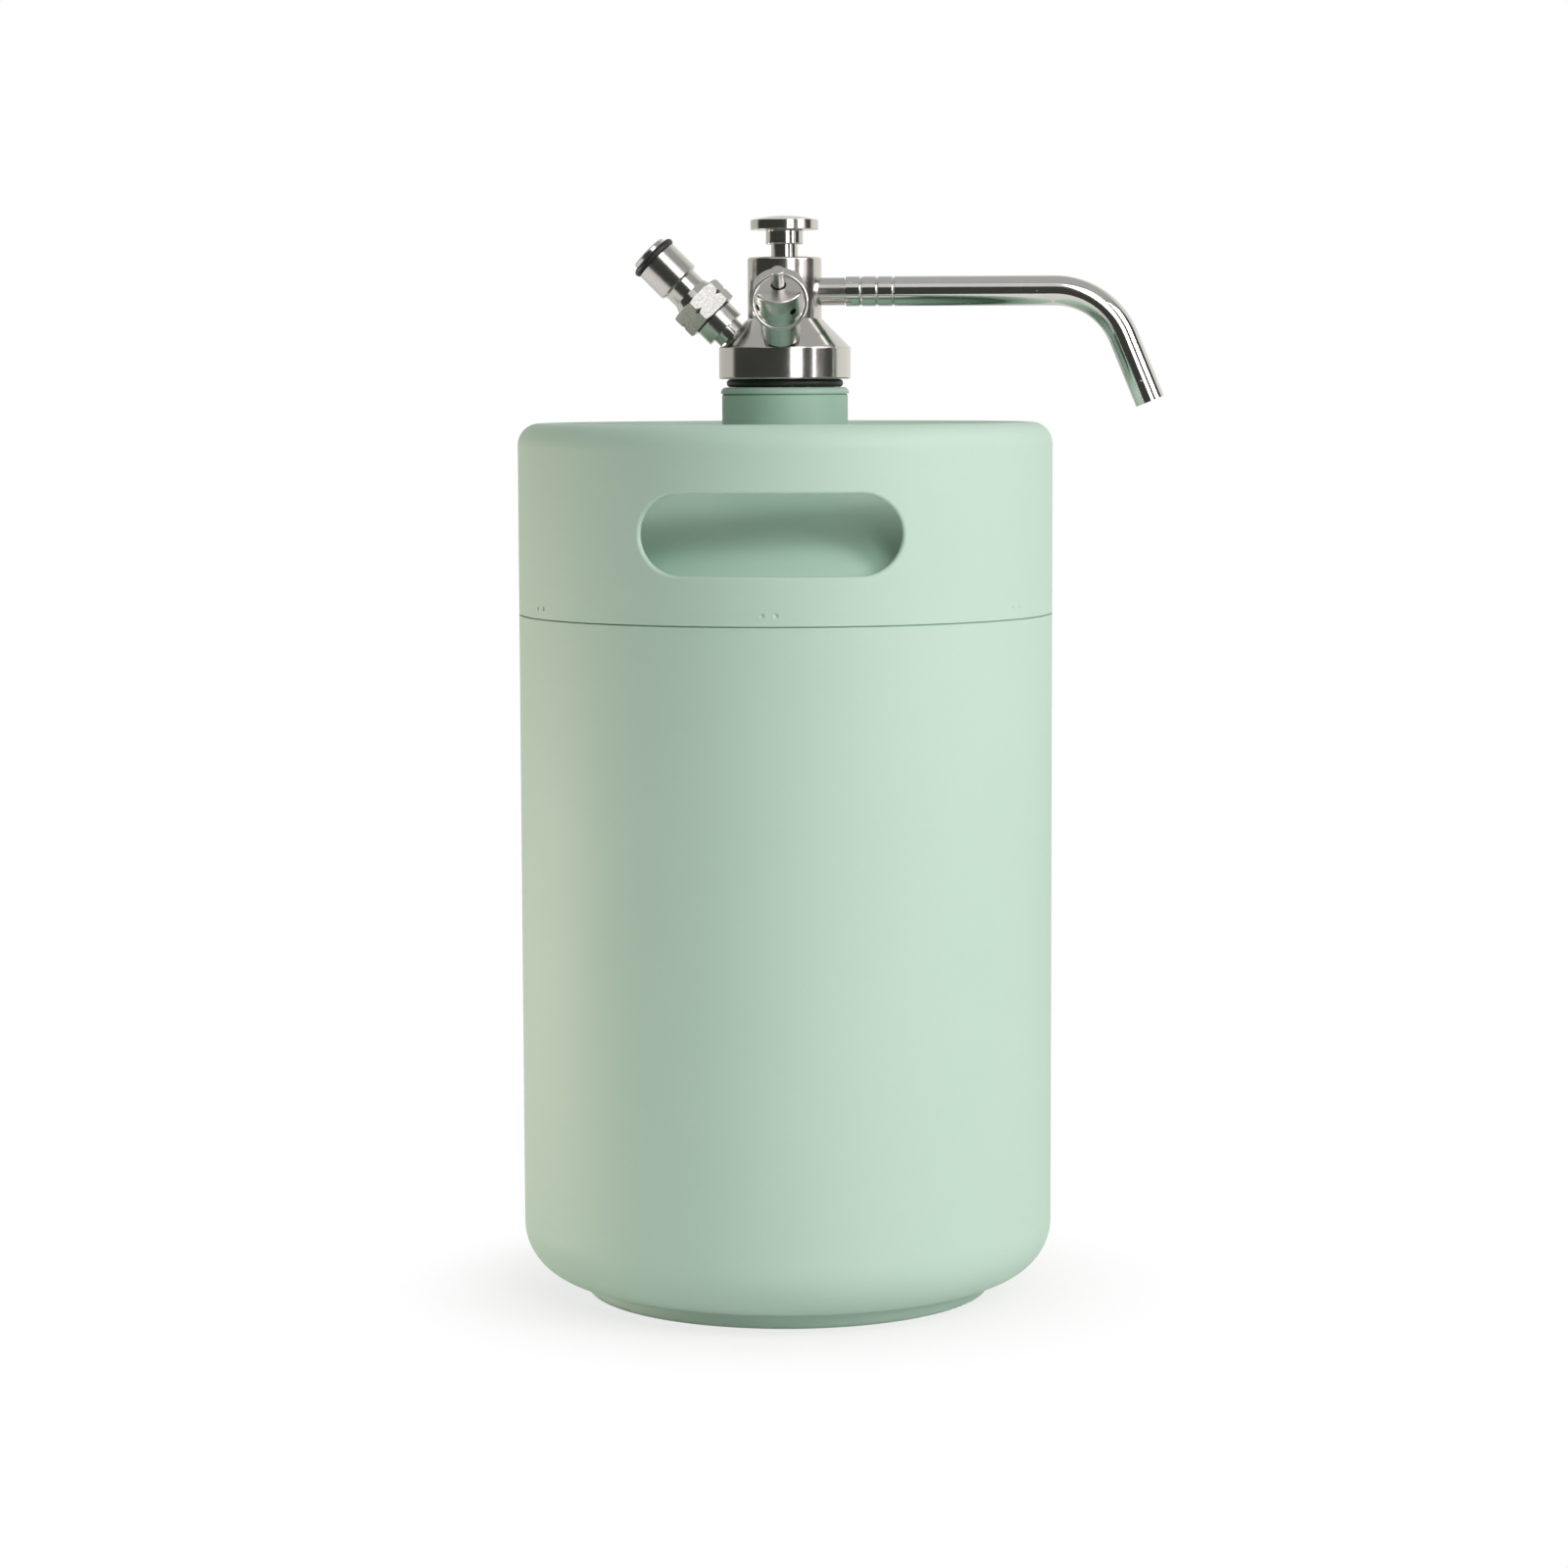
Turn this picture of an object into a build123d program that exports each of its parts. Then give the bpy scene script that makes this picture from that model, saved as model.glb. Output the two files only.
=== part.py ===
from build123d import *
import os
from math import atan2, cos, hypot, pi, radians, sin, sqrt, tan

# An insulated mini keg with a push tap, a gas post and a relief valve, in millimetres.
# The origin is the centre of the foot on the floor, +Z is up, the spout points to +X,
# the relief valve and one handle slot face -Y, and the gas post leans to -X.

# Clearances
seal_gap = 0.05  # between a rubber seal and the face that it closes on
slide_gap = 0.1  # between a shaft and its guide
shoulder_gap = 0.4  # between the spout's end and the nipple's shoulder

# Outer wall, shoulder and base
shell_radius = 92.5
shell_wall = 0.8
seam_height = 237.5
seam_gap = 0.5
lap_below = 8.0
lap_above = 5.5
knuckle_radius = 14.0
crown_radius = 140.0
weld_leg = 2.5
base_corner = 19.0
base_skirt = 2.0
foot_inset = 22.0
foot_height = 6.0
foot_width = 6.0
foot_bend = 1.5
foot_crease = 2.9
base_recess = 4.5
plug_radius = 4.0
plug_head_radius = 9.0
plug_head = 1.5
plug_reach = 1.2

# Inner vessel
vacuum_gap = 5.2
liner_wall = 0.7
liner_corner = 20.0
liner_skirt = 6.0

# Neck
neck_radius = 21.75
neck_bore = 18.2
neck_rise = 12.1
neck_inside = 4.0
bead_out = 0.35
bead_lip = 0.5
bead_round = 1.7
crease_depth = 0.45
crease_height = 0.6

# Handle collar
collar_wall = 0.8
collar_height = 65.5
rim_bend = 7.5
rim_flat = 1.0
rim_lip = 12.0
slot_width = 86.0
slot_height = 27.0
slot_rise = 29.6
slot_hem = 1.6
slot_hem_depth = 3.0
slot_edge = 1.0
weld_pairs = 6
weld_pitch = 4.6
weld_rise = 3.5
weld_ball = 1.0
weld_depth = 0.5

# Tap head
neck_seal_radius = 18.75
neck_seal_wire = 1.4
skirt_radius = 22.75
skirt_height = 10.7
cone_angle = 45.0
barrel_radius = 12.77
barrel_height = 21.0
head_edge = 0.5
barrel_edge = 0.9
spigot_length = 20.0
cavity_outer = 14.5
cavity_depth = 28.0
boss_radius = 9.5
inlet_radius = 7.0
seat_bore = 3.6
seat_drop = 2.6
seat_thickness = 2.5
chamber_radius = 5.6
gland_radius = 8.0
gland_height = 6.2
gland_recess = 0.2
stem_seal_wire = 0.75
port_radius = 18.4

# Springs
wire_sides = 8

# Push tap
stem_radius = 4.6
stop_gap = 4.45
stop_radius = 6.42
stop_height = 5.0
stop_round = 0.5
knob_radius = 11.7
knob_edge = 3.35
knob_round = 0.25
knob_dome = 1.5
stud_radius = 3.0
stud_in_knob = 2.2
spindle_radius = 2.0
shoulder_drop = 3.6
valve_radius = 5.6
valve_washer_height = 1.7
valve_disc_height = 2.6
valve_nut_radius = 3.6
valve_nut_height = 2.2
tap_coil_radius = 3.9
tap_coil_wire = 0.5
tap_coil_turns = 5

# Dip tube
tube_radius = 4.0
tube_wall = 0.8
tube_lift = 6.0
tube_rise = 1.5
tube_nut_length = 14.0
tube_nut_flats = 15.0
tube_nut_head = 3.5
tube_seal_wire = 1.4

# Spout
spout_drop = 11.7
spout_radius = 5.15
spout_wall = 1.0
nipple_radius = 4.75
nipple_seat = 7.5
nipple_shoulder = 20.8
nipple_end = 30.0
nipple_bore = 2.2
spout_seal_wire = 0.5
spout_seal_place = 24.5
spout_straight = 93.0
spout_bend = 25.7
spout_turn = 67.5
spout_tail = 24.0
grip_first = 26.4
grip_pitch = 5.6
grip_count = 3
grip_ball = 0.55
grip_depth = 0.35

# Gas post, heights along its own axis from the cone
stub_radius = 5.35
stub_depth = 6.0
gas_drill = 2.5
drill_depth = 11.0
adapter_radius = 7.45
adapter_low = 2.9
adapter_height = 5.7
adapter_bore = 3.0
washer_height = 0.5
post_thread = 5.9
post_thread_length = 7.0
hex_flats = 18.0
hex_height = 8.8
hex_turn = 20.0
hex_chamfer = 1.0
notch_width = 1.9
notch_floor = 9.65
post_flare_radius = 7.6
post_flare = 2.6
waist_radius = 6.5
waist_height = 4.6
lock_radius = 7.9
lock_bevel = 0.8
lock_height = 10.7
post_seal_wire = 1.3
post_seal_groove = 5.95
post_lip_radius = 6.7
post_lip = 1.6
post_lip_bevel = 0.5
post_bore = 4.8
post_mouth = 3.2
post_seat_drop = 6.4
post_seat_rise = 2.5
poppet_rod = 1.5
poppet_tip_drop = 0.6
poppet_radius = 4.4
poppet_base = 2.6
poppet_seal_height = 3.1
poppet_seal_side = 1.7
poppet_seal_clear = 0.2
gas_coil_radius = 3.7
gas_coil_wire = 0.45
gas_coil_turns = 5

# Relief valve, heights along its own axis from the cone
relief_shank = 3.9
relief_shank_depth = 6.3
relief_drill = 2.0
relief_pocket = 0.8
relief_base_wire = 0.8
relief_radius = 6.85
relief_length = 13.0
relief_inlet = 2.0
relief_seat_height = 1.5
relief_bore = 5.0
relief_thread = 5.7
relief_thread_length = 4.0
relief_cap_radius = 8.65
relief_cap_length = 9.3
relief_cap_bore = 4.7
relief_cap_top = 1.7
relief_cap_edge = 0.5
vent_count = 4
vent_radius = 1.2
vent_height = 3.6
vent_turn = -10.0
rod_radius = 2.2
rod_guide = 0.45
rod_out = 7.0
rod_edge = 0.4
ring_hole_below_end = 2.5
ring_hole = 1.05
relief_disc_radius = 4.3
relief_disc_height = 1.2
relief_seal_height = 1.2
relief_coil_radius = 3.4
relief_coil_wire = 0.5
relief_coil_turns = 6
ring_radius = 9.1
ring_wire = 0.6
ring_sway = 4.0

# Heights and radii that follow from the sizes above
lap_radius = shell_radius - shell_wall
collar_radius = lap_radius + collar_wall
collar_low = seam_height + seam_gap
rim_height = collar_low + collar_height
slot_centre = collar_low + slot_rise
neck_top = rim_height + neck_rise
spring_height = collar_low + lap_above
knuckle_reach = lap_radius - knuckle_radius
crown_reach = crown_radius - knuckle_radius
crown_centre = spring_height - sqrt(crown_reach**2 - knuckle_reach**2)
base_top = foot_height + base_corner + base_skirt
foot_radius = shell_radius - foot_inset
liner_inset = shell_wall + vacuum_gap
liner_radius = lap_radius - liner_inset
liner_floor = foot_height + liner_inset
liner_low = liner_floor + liner_corner + liner_skirt
liner_high = spring_height - liner_skirt
liner_crown = crown_radius - liner_inset - liner_wall
neck_low = crown_centre + sqrt(liner_crown**2 - neck_radius**2) - neck_inside
bead_low = neck_top - bead_lip - bead_round
bead_radius = neck_radius + bead_out

flange_height = neck_top + 2 * (neck_seal_wire + seal_gap)
cone_low = flange_height + skirt_height
cone_high = cone_low + (skirt_radius - barrel_radius) * tan(radians(cone_angle))
head_top = cone_high + barrel_height
spigot_radius = neck_seal_radius - neck_seal_wire - seal_gap
spigot_low = flange_height - spigot_length
cavity_top = spigot_low + cavity_depth
seat_low = cone_high - seat_drop
seat_top = seat_low + seat_thickness
gland_low = head_top - gland_height
stem_low = gland_low - shoulder_drop
stop_low = head_top + stop_gap
knob_low = stop_low + stop_height
knob_top = knob_low + knob_edge
spout_height = head_top - spout_drop

lean = radians(cone_angle)
port_height = cone_low + (skirt_radius - port_radius) * tan(lean)
gas_port = (-port_radius, 0, port_height)
gas_out = (-sin(lean), 0, cos(lean))
gas_axis = Axis(gas_port, gas_out)
gas_section = Plane(gas_port, x_dir=(cos(lean), 0, sin(lean)), z_dir=(0, -1, 0))
gas_face = Plane(gas_port, x_dir=(cos(lean), 0, sin(lean)), z_dir=gas_out)
relief_port = (0, -port_radius, port_height)
relief_out = (0, -sin(lean), cos(lean))
relief_axis = Axis(relief_port, relief_out)
relief_section = Plane(relief_port, x_dir=(1, 0, 0), z_dir=(0, -cos(lean), -sin(lean)))
relief_face = Plane(relief_port, x_dir=(1, 0, 0), z_dir=relief_out)
spout_axis = Axis((0, 0, spout_height), (1, 0, 0))


def o_ring(section, axis, middle_radius, height, wire):
    """A rubber ring of round wire about an axis that lies in the section plane."""
    with BuildPart() as ring:
        with BuildSketch(section):
            with Locations((middle_radius, height)):
                Circle(wire)
        revolve(axis=axis)
    return ring


def helix_point(turn, radius, low, pitch):
    """A point of a helix about local Z and its tangent, after a number of turns."""
    angle = 2 * pi * turn
    point = Vector(radius * cos(angle), radius * sin(angle), low + pitch * turn)
    tangent = Vector(-radius * sin(angle), radius * cos(angle), pitch / (2 * pi)).normalized()
    return point, tangent


def coil_spring(base, radius, wire, length, turns):
    """A coil spring that stands on a plane and fills a length, its wire swept along pairs of arcs."""
    room = length - 2 * (wire + seal_gap)
    pitch = room / turns
    low = wire + seal_gap
    steps = 4 * turns
    knots = [helix_point(step / 4, radius, low, pitch) for step in range(steps + 1)]
    with BuildPart() as spring:
        with BuildLine() as path:
            for (start, leave), (end, arrive) in zip(knots, knots[1:]):
                chord = end - start
                both = leave + arrive
                bend = 2 * (1 - leave.dot(arrive))
                reach = (sqrt(chord.dot(both) ** 2 + bend * chord.dot(chord)) - chord.dot(both)) / bend
                middle = (start + leave * reach + end - arrive * reach) * 0.5
                first = TangentArc(
                    base.from_local_coords(start),
                    base.from_local_coords(middle),
                    tangent=base.from_local_coords(start + leave) - base.from_local_coords(start),
                )
                TangentArc(first @ 1, base.from_local_coords(end), tangent=first % 1)
        wire_path = path.wires()[0]
        with BuildSketch(Plane(wire_path @ 0, z_dir=wire_path % 0)):
            RegularPolygon(wire, wire_sides)
        sweep(path=wire_path)
    gap = pitch * cos(atan2(pitch, 2 * pi * radius)) - 2 * wire
    print(f"spring of {turns} turns: least gap to itself {gap:.2f} mm")
    return spring


def dome_line(inset, low, hole):
    """Skirt, knuckle and crown of the shoulder, drawn a distance inside its outer face."""
    skirt = Line((lap_radius - inset, low), (lap_radius - inset, spring_height))
    share = (crown_radius - inset) / crown_reach
    turn = (knuckle_reach * share, crown_centre + (spring_height - crown_centre) * share)
    knuckle = TangentArc(skirt @ 1, turn, tangent=skirt % 1)
    top = (hole, crown_centre + sqrt((crown_radius - inset) ** 2 - hole**2))
    TangentArc(knuckle @ 1, top, tangent=knuckle % 1)
    return top


# Outer wall: the straight painted tube below the seam
with BuildPart() as outer_wall:
    with BuildSketch(Plane.XY.offset(base_top)):
        Circle(shell_radius)
        Circle(lap_radius, mode=Mode.SUBTRACT)
    extrude(amount=seam_height - base_top)

# Shoulder: a pressed dome whose skirt laps inside the wall and the collar, welded round the neck
with BuildPart() as shoulder_dome:
    with BuildSketch(Plane.XZ):
        with BuildLine():
            outside = dome_line(0, seam_height - lap_below, neck_radius + weld_leg)
            inside = dome_line(shell_wall, seam_height - lap_below, neck_radius)
            Polyline(outside, (neck_radius, outside[1] + weld_leg), inside)
            Line((lap_radius - shell_wall, seam_height - lap_below), (lap_radius, seam_height - lap_below))
        make_face()
    revolve(axis=Axis.Z)

# Base: a pressed cup with a round corner and a hollow foot ring
with BuildPart() as base_cup:
    with BuildSketch(Plane.XZ):
        with BuildLine():
            foot_inner = foot_radius - foot_width
            under = FilletPolyline(
                (shell_radius, base_top),
                (shell_radius, foot_height),
                (foot_radius, foot_height),
                (foot_radius, 0),
                (foot_inner, 0),
                (foot_inner, base_recess),
                (plug_radius, base_recess),
                radius=[base_corner, foot_crease, foot_bend, foot_bend, foot_bend],
            )
            above = FilletPolyline(
                (lap_radius, base_top),
                (lap_radius, foot_height + shell_wall),
                (foot_radius - shell_wall, foot_height + shell_wall),
                (foot_radius - shell_wall, shell_wall),
                (foot_inner + shell_wall, shell_wall),
                (foot_inner + shell_wall, base_recess + shell_wall),
                (plug_radius, base_recess + shell_wall),
                radius=[
                    base_corner - shell_wall,
                    foot_crease + shell_wall,
                    foot_bend - shell_wall,
                    foot_bend - shell_wall,
                    foot_bend + shell_wall,
                ],
            )
            Line(under @ 0, above @ 0)
            Line(under @ 1, above @ 1)
        make_face()
    revolve(axis=Axis.Z)

# Plug that closes the hole through which the jacket was pumped out
with BuildPart() as vacuum_plug:
    with BuildSketch(Plane.XY.offset(base_recess - plug_head)):
        Circle(plug_head_radius)
    extrude(amount=plug_head)
    with BuildSketch(Plane.XY.offset(base_recess)):
        Circle(plug_radius)
    extrude(amount=shell_wall + plug_reach)

# Inner vessel: bottom, tube and top, which hang from the neck inside the jacket
with BuildPart() as liner_bottom:
    with BuildSketch(Plane.XZ):
        with BuildLine():
            outside = FilletPolyline(
                (liner_radius, liner_low),
                (liner_radius, liner_floor),
                (0, liner_floor),
                radius=[liner_corner],
            )
            inside = FilletPolyline(
                (liner_radius - liner_wall, liner_low),
                (liner_radius - liner_wall, liner_floor + liner_wall),
                (0, liner_floor + liner_wall),
                radius=[liner_corner - liner_wall],
            )
            Line(outside @ 0, inside @ 0)
            Line(outside @ 1, inside @ 1)
        make_face()
    revolve(axis=Axis.Z)

with BuildPart() as liner_tube:
    with BuildSketch(Plane.XY.offset(liner_low)):
        Circle(liner_radius)
        Circle(liner_radius - liner_wall, mode=Mode.SUBTRACT)
    extrude(amount=liner_high - liner_low)

with BuildPart() as liner_top:
    with BuildSketch(Plane.XZ):
        with BuildLine():
            outside = dome_line(liner_inset, liner_high, neck_radius)
            inside = dome_line(liner_inset + liner_wall, liner_high, neck_radius)
            Line(outside, inside)
            Line((liner_radius, liner_high), (liner_radius - liner_wall, liner_high))
        make_face()
    revolve(axis=Axis.Z)

# Neck: a thick tube through both domes, with a rolled bead above a crease, under the head's seal
with BuildPart() as keg_neck:
    with BuildSketch(Plane.XZ):
        with BuildLine():
            side = Polyline(
                (neck_bore, neck_top),
                (neck_bore, neck_low),
                (neck_radius, neck_low),
                (neck_radius, bead_low - crease_height),
                (neck_radius - crease_depth, bead_low),
                (bead_radius, bead_low),
                (bead_radius, bead_low + bead_lip),
            )
            bead = TangentArc(side @ 1, (bead_radius - bead_round, neck_top), tangent=(0, 1))
            Line(bead @ 1, side @ 0)
        make_face()
    revolve(axis=Axis.Z)

# Hems of the two handle slots, cut to the curve of the collar
with BuildPart() as slot_hems:
    with BuildSketch(Plane.XZ):
        with Locations((0, slot_centre)):
            SlotOverall(slot_width + 2 * slot_hem, slot_height + 2 * slot_hem)
            SlotOverall(slot_width, slot_height, mode=Mode.SUBTRACT)
    extrude(amount=collar_radius, both=True)
    with BuildSketch(Plane.XY.offset(collar_low)):
        Circle(collar_radius)
        Circle(collar_radius - slot_hem_depth, mode=Mode.SUBTRACT)
    extrude(amount=rim_height - collar_low, mode=Mode.INTERSECT)

# Handle collar: a sheet skirt with a rolled rim, a hemmed slot at front and back, and weld marks
with BuildPart() as handle_collar:
    with BuildSketch(Plane.XZ):
        with BuildLine():
            rim_inner = collar_radius - 2 * rim_bend - rim_flat
            outside = FilletPolyline(
                (collar_radius, collar_low),
                (collar_radius, rim_height),
                (rim_inner, rim_height),
                (rim_inner, rim_height - rim_lip),
                radius=rim_bend,
            )
            inside = FilletPolyline(
                (collar_radius - collar_wall, collar_low),
                (collar_radius - collar_wall, rim_height - collar_wall),
                (rim_inner + collar_wall, rim_height - collar_wall),
                (rim_inner + collar_wall, rim_height - rim_lip),
                radius=rim_bend - collar_wall,
            )
            Line(outside @ 0, inside @ 0)
            Line(outside @ 1, inside @ 1)
        make_face()
    revolve(axis=Axis.Z)
    with BuildSketch(Plane.XZ):
        with Locations((0, slot_centre)):
            SlotOverall(slot_width, slot_height)
    extrude(amount=collar_radius, both=True, mode=Mode.SUBTRACT)
    add(slot_hems.part)
    slot_rim = handle_collar.edges().filter_by(
        lambda edge: abs(hypot((edge @ 0.5).X, (edge @ 0.5).Y) - collar_radius) < collar_wall / 10
        and abs((edge @ 0.5).Z - slot_centre) < slot_height / 2 + collar_wall
    )
    fillet(slot_rim, slot_edge)
    weld_angle = 360 * weld_pitch / (2 * pi * collar_radius)
    for side in (-0.5, 0.5):
        with Locations((0, 0, collar_low + weld_rise)):
            with PolarLocations(collar_radius + weld_ball - weld_depth, weld_pairs, side * weld_angle - 90):
                Sphere(weld_ball, mode=Mode.SUBTRACT)

# Seal ring between the neck and the head
neck_seal = o_ring(Plane.XZ, Axis.Z, neck_seal_radius, neck_top + seal_gap + neck_seal_wire, neck_seal_wire)

# Tap head: a turned body with a spigot, a skirt, a cone for two ports and a barrel for the valve
with BuildPart() as tap_head:
    with BuildSketch(Plane.XZ) as head_profile:
        with BuildLine():
            Polyline(
                (cavity_outer, spigot_low),
                (spigot_radius, spigot_low),
                (spigot_radius, flange_height),
                (skirt_radius, flange_height),
                (skirt_radius, cone_low),
                (barrel_radius, cone_high),
                (barrel_radius, head_top),
                (gland_radius, head_top),
                (gland_radius, gland_low),
                (chamber_radius, gland_low),
                (chamber_radius, seat_top),
                (seat_bore, seat_top),
                (seat_bore, seat_low),
                (inlet_radius, seat_low),
                (inlet_radius, spigot_low),
                (boss_radius, spigot_low),
                (boss_radius, cavity_top),
                (cavity_outer, cavity_top),
                close=True,
            )
        make_face()
        fillet(head_profile.vertices().group_by(Axis.X)[-1], head_edge)
        fillet(head_profile.vertices().group_by(Axis.Y)[-1].sort_by(Axis.X)[-1], barrel_edge)
    revolve(axis=Axis.Z)
    with BuildSketch(gas_face):
        Circle(stub_radius)
    extrude(amount=-stub_depth, mode=Mode.SUBTRACT)
    with BuildSketch(gas_face):
        Circle(gas_drill)
    extrude(amount=-drill_depth, mode=Mode.SUBTRACT)
    with BuildSketch(relief_face):
        Circle(relief_shank + 2 * (relief_base_wire + seal_gap))
    extrude(amount=-relief_pocket, mode=Mode.SUBTRACT)
    with BuildSketch(relief_face):
        Circle(relief_shank)
    extrude(amount=-relief_shank_depth, mode=Mode.SUBTRACT)
    with BuildSketch(relief_face):
        Circle(relief_drill)
    extrude(amount=-drill_depth, mode=Mode.SUBTRACT)
    with BuildSketch(Plane.YZ):
        with Locations((0, spout_height)):
            Circle(nipple_bore)
    extrude(amount=barrel_radius, mode=Mode.SUBTRACT)
    with BuildSketch(Plane.YZ.offset(nipple_seat)):
        with Locations((0, spout_height)):
            Circle(nipple_radius)
    extrude(amount=barrel_radius, mode=Mode.SUBTRACT)

# Gland that guides the stem in the top of the barrel, with its seal ring
stem_seal_radius = stem_radius + seal_gap + stem_seal_wire
stem_seal_height = gland_low + (gland_height - gland_recess) / 2
with BuildPart() as gland_bush:
    with BuildSketch(Plane.XZ) as gland_profile:
        with BuildLine():
            Polyline(
                (stem_radius + slide_gap, gland_low),
                (gland_radius, gland_low),
                (gland_radius, head_top - gland_recess),
                (stem_radius + slide_gap, head_top - gland_recess),
                close=True,
            )
        make_face()
        groove = 2 * (stem_seal_wire + seal_gap)
        with Locations((stem_seal_radius, stem_seal_height)):
            Rectangle(groove, groove, mode=Mode.SUBTRACT)
    revolve(axis=Axis.Z)
stem_seal = o_ring(Plane.XZ, Axis.Z, stem_seal_radius, stem_seal_height, stem_seal_wire)

# Push stem: guided part, stud for the knob above and thin spindle for the valve below
valve_low = seat_low - seal_gap - valve_washer_height - valve_disc_height - valve_nut_height
with BuildPart() as push_stem:
    with BuildSketch(Plane.XZ):
        with BuildLine():
            Polyline(
                (0, valve_low),
                (spindle_radius, valve_low),
                (spindle_radius, stem_low),
                (stem_radius, stem_low),
                (stem_radius, stop_low),
                (stud_radius, stop_low),
                (stud_radius, knob_low + stud_in_knob),
                (0, knob_low + stud_in_knob),
                close=True,
            )
        make_face()
    revolve(axis=Axis.Z)

# Stop collar under the knob, which meets the barrel when the tap is fully pressed
with BuildPart() as stop_collar:
    with BuildSketch(Plane.XY.offset(stop_low)):
        Circle(stop_radius)
        Circle(stud_radius, mode=Mode.SUBTRACT)
    extrude(amount=stop_height)
    fillet(stop_collar.edges().filter_by(GeomType.CIRCLE).sort_by(SortBy.RADIUS)[-2:], stop_round)

# Push knob: a round disc with a low dome
with BuildPart() as push_knob:
    with BuildSketch(Plane.XZ) as knob_profile:
        with BuildLine():
            edge = Polyline(
                (0, knob_top + knob_dome),
                (0, knob_low + stud_in_knob),
                (stud_radius, knob_low + stud_in_knob),
                (stud_radius, knob_low),
                (knob_radius, knob_low),
                (knob_radius, knob_top),
            )
            TangentArc(edge @ 0, edge @ 1, tangent=(1, 0))
        make_face()
        fillet(knob_profile.vertices().group_by(Axis.X)[-1], knob_round)
    revolve(axis=Axis.Z)

# Valve on the spindle: a rubber washer that closes upwards on the seat, its disc and its nut
with BuildPart() as valve_washer:
    with BuildSketch(Plane.XY.offset(seat_low - seal_gap - valve_washer_height)):
        Circle(valve_radius)
        Circle(spindle_radius, mode=Mode.SUBTRACT)
    extrude(amount=valve_washer_height)

with BuildPart() as valve_disc:
    with BuildSketch(Plane.XY.offset(valve_low + valve_nut_height)):
        Circle(valve_radius)
        Circle(spindle_radius, mode=Mode.SUBTRACT)
    extrude(amount=valve_disc_height)
    with BuildSketch(Plane.XY.offset(valve_low)):
        RegularPolygon(valve_nut_radius, 6)
        Circle(spindle_radius, mode=Mode.SUBTRACT)
    extrude(amount=valve_nut_height)

# Spring that lifts the push stem
tap_spring = coil_spring(
    Plane.XY.offset(seat_top), tap_coil_radius, tap_coil_wire, stem_low - seat_top, tap_coil_turns
)

# Dip tube, with the nut and the seal that hold it in the spigot
tube_low = liner_floor + liner_wall + tube_lift
tube_nut_top = spigot_low + tube_nut_length
tube_seal_radius = tube_radius + seal_gap + tube_seal_wire
tube_seal_height = tube_nut_top + seal_gap + tube_seal_wire
tube_top = tube_seal_height + tube_seal_wire + tube_rise
with BuildPart() as dip_tube:
    with BuildSketch(Plane.XY.offset(tube_low)):
        Circle(tube_radius)
        Circle(tube_radius - tube_wall, mode=Mode.SUBTRACT)
    extrude(amount=tube_top - tube_low)

with BuildPart() as tube_nut:
    with BuildSketch(Plane.XY.offset(spigot_low)):
        Circle(inlet_radius)
        Circle(tube_radius, mode=Mode.SUBTRACT)
    extrude(amount=tube_nut_length)
    with BuildSketch(Plane.XY.offset(spigot_low - tube_nut_head)):
        RegularPolygon(tube_nut_flats / 2, 6, major_radius=False)
        Circle(tube_radius, mode=Mode.SUBTRACT)
    extrude(amount=tube_nut_head)
tube_seal = o_ring(Plane.XZ, Axis.Z, tube_seal_radius, tube_seal_height, tube_seal_wire)

# Spout nipple, welded into the barrel, with a seal ring on its plain end
spout_bore = spout_radius - spout_wall
spout_seal_radius = spout_bore - seal_gap - spout_seal_wire
with BuildPart() as spout_nipple:
    with BuildSketch(Plane.XZ):
        with BuildLine():
            nipple_plug = spout_height + spout_bore - slide_gap
            groove_floor = spout_height + spout_seal_radius - spout_seal_wire - seal_gap
            groove_half = spout_seal_wire + seal_gap
            Polyline(
                (nipple_seat, spout_height + nipple_bore),
                (nipple_seat, spout_height + nipple_radius),
                (nipple_shoulder, spout_height + nipple_radius),
                (nipple_shoulder, nipple_plug),
                (spout_seal_place - groove_half, nipple_plug),
                (spout_seal_place - groove_half, groove_floor),
                (spout_seal_place + groove_half, groove_floor),
                (spout_seal_place + groove_half, nipple_plug),
                (nipple_end, nipple_plug),
                (nipple_end, spout_height + nipple_bore),
                close=True,
            )
        make_face()
    revolve(axis=spout_axis)
with BuildPart() as spout_seal:
    with BuildSketch(Plane.XZ):
        with Locations((spout_seal_place, spout_height + spout_seal_radius)):
            Circle(spout_seal_wire)
    revolve(axis=spout_axis)

# Spout: a bent tube with grip grooves by its root
spout_start = nipple_shoulder + shoulder_gap
tangent_run = spout_bend * tan(radians(spout_turn) / 2)
spout_corner = spout_straight + tangent_run
spout_drop_run = tangent_run + spout_tail
with BuildPart() as spout_tube:
    with BuildLine() as spout_path:
        FilletPolyline(
            (spout_start, 0, spout_height),
            (spout_corner, 0, spout_height),
            (
                spout_corner + spout_drop_run * cos(radians(spout_turn)),
                0,
                spout_height - spout_drop_run * sin(radians(spout_turn)),
            ),
            radius=spout_bend,
        )
    with BuildSketch(Plane.YZ.offset(spout_start)):
        with Locations((0, spout_height)):
            Circle(spout_radius)
            Circle(spout_bore, mode=Mode.SUBTRACT)
    sweep(path=spout_path.wires()[0])
    with BuildSketch(Plane.XZ):
        for groove in range(grip_count):
            place = grip_first + groove * grip_pitch
            with Locations((place, spout_height + spout_radius + grip_ball - grip_depth)):
                Circle(grip_ball)
    revolve(axis=spout_axis, mode=Mode.SUBTRACT)

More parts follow.
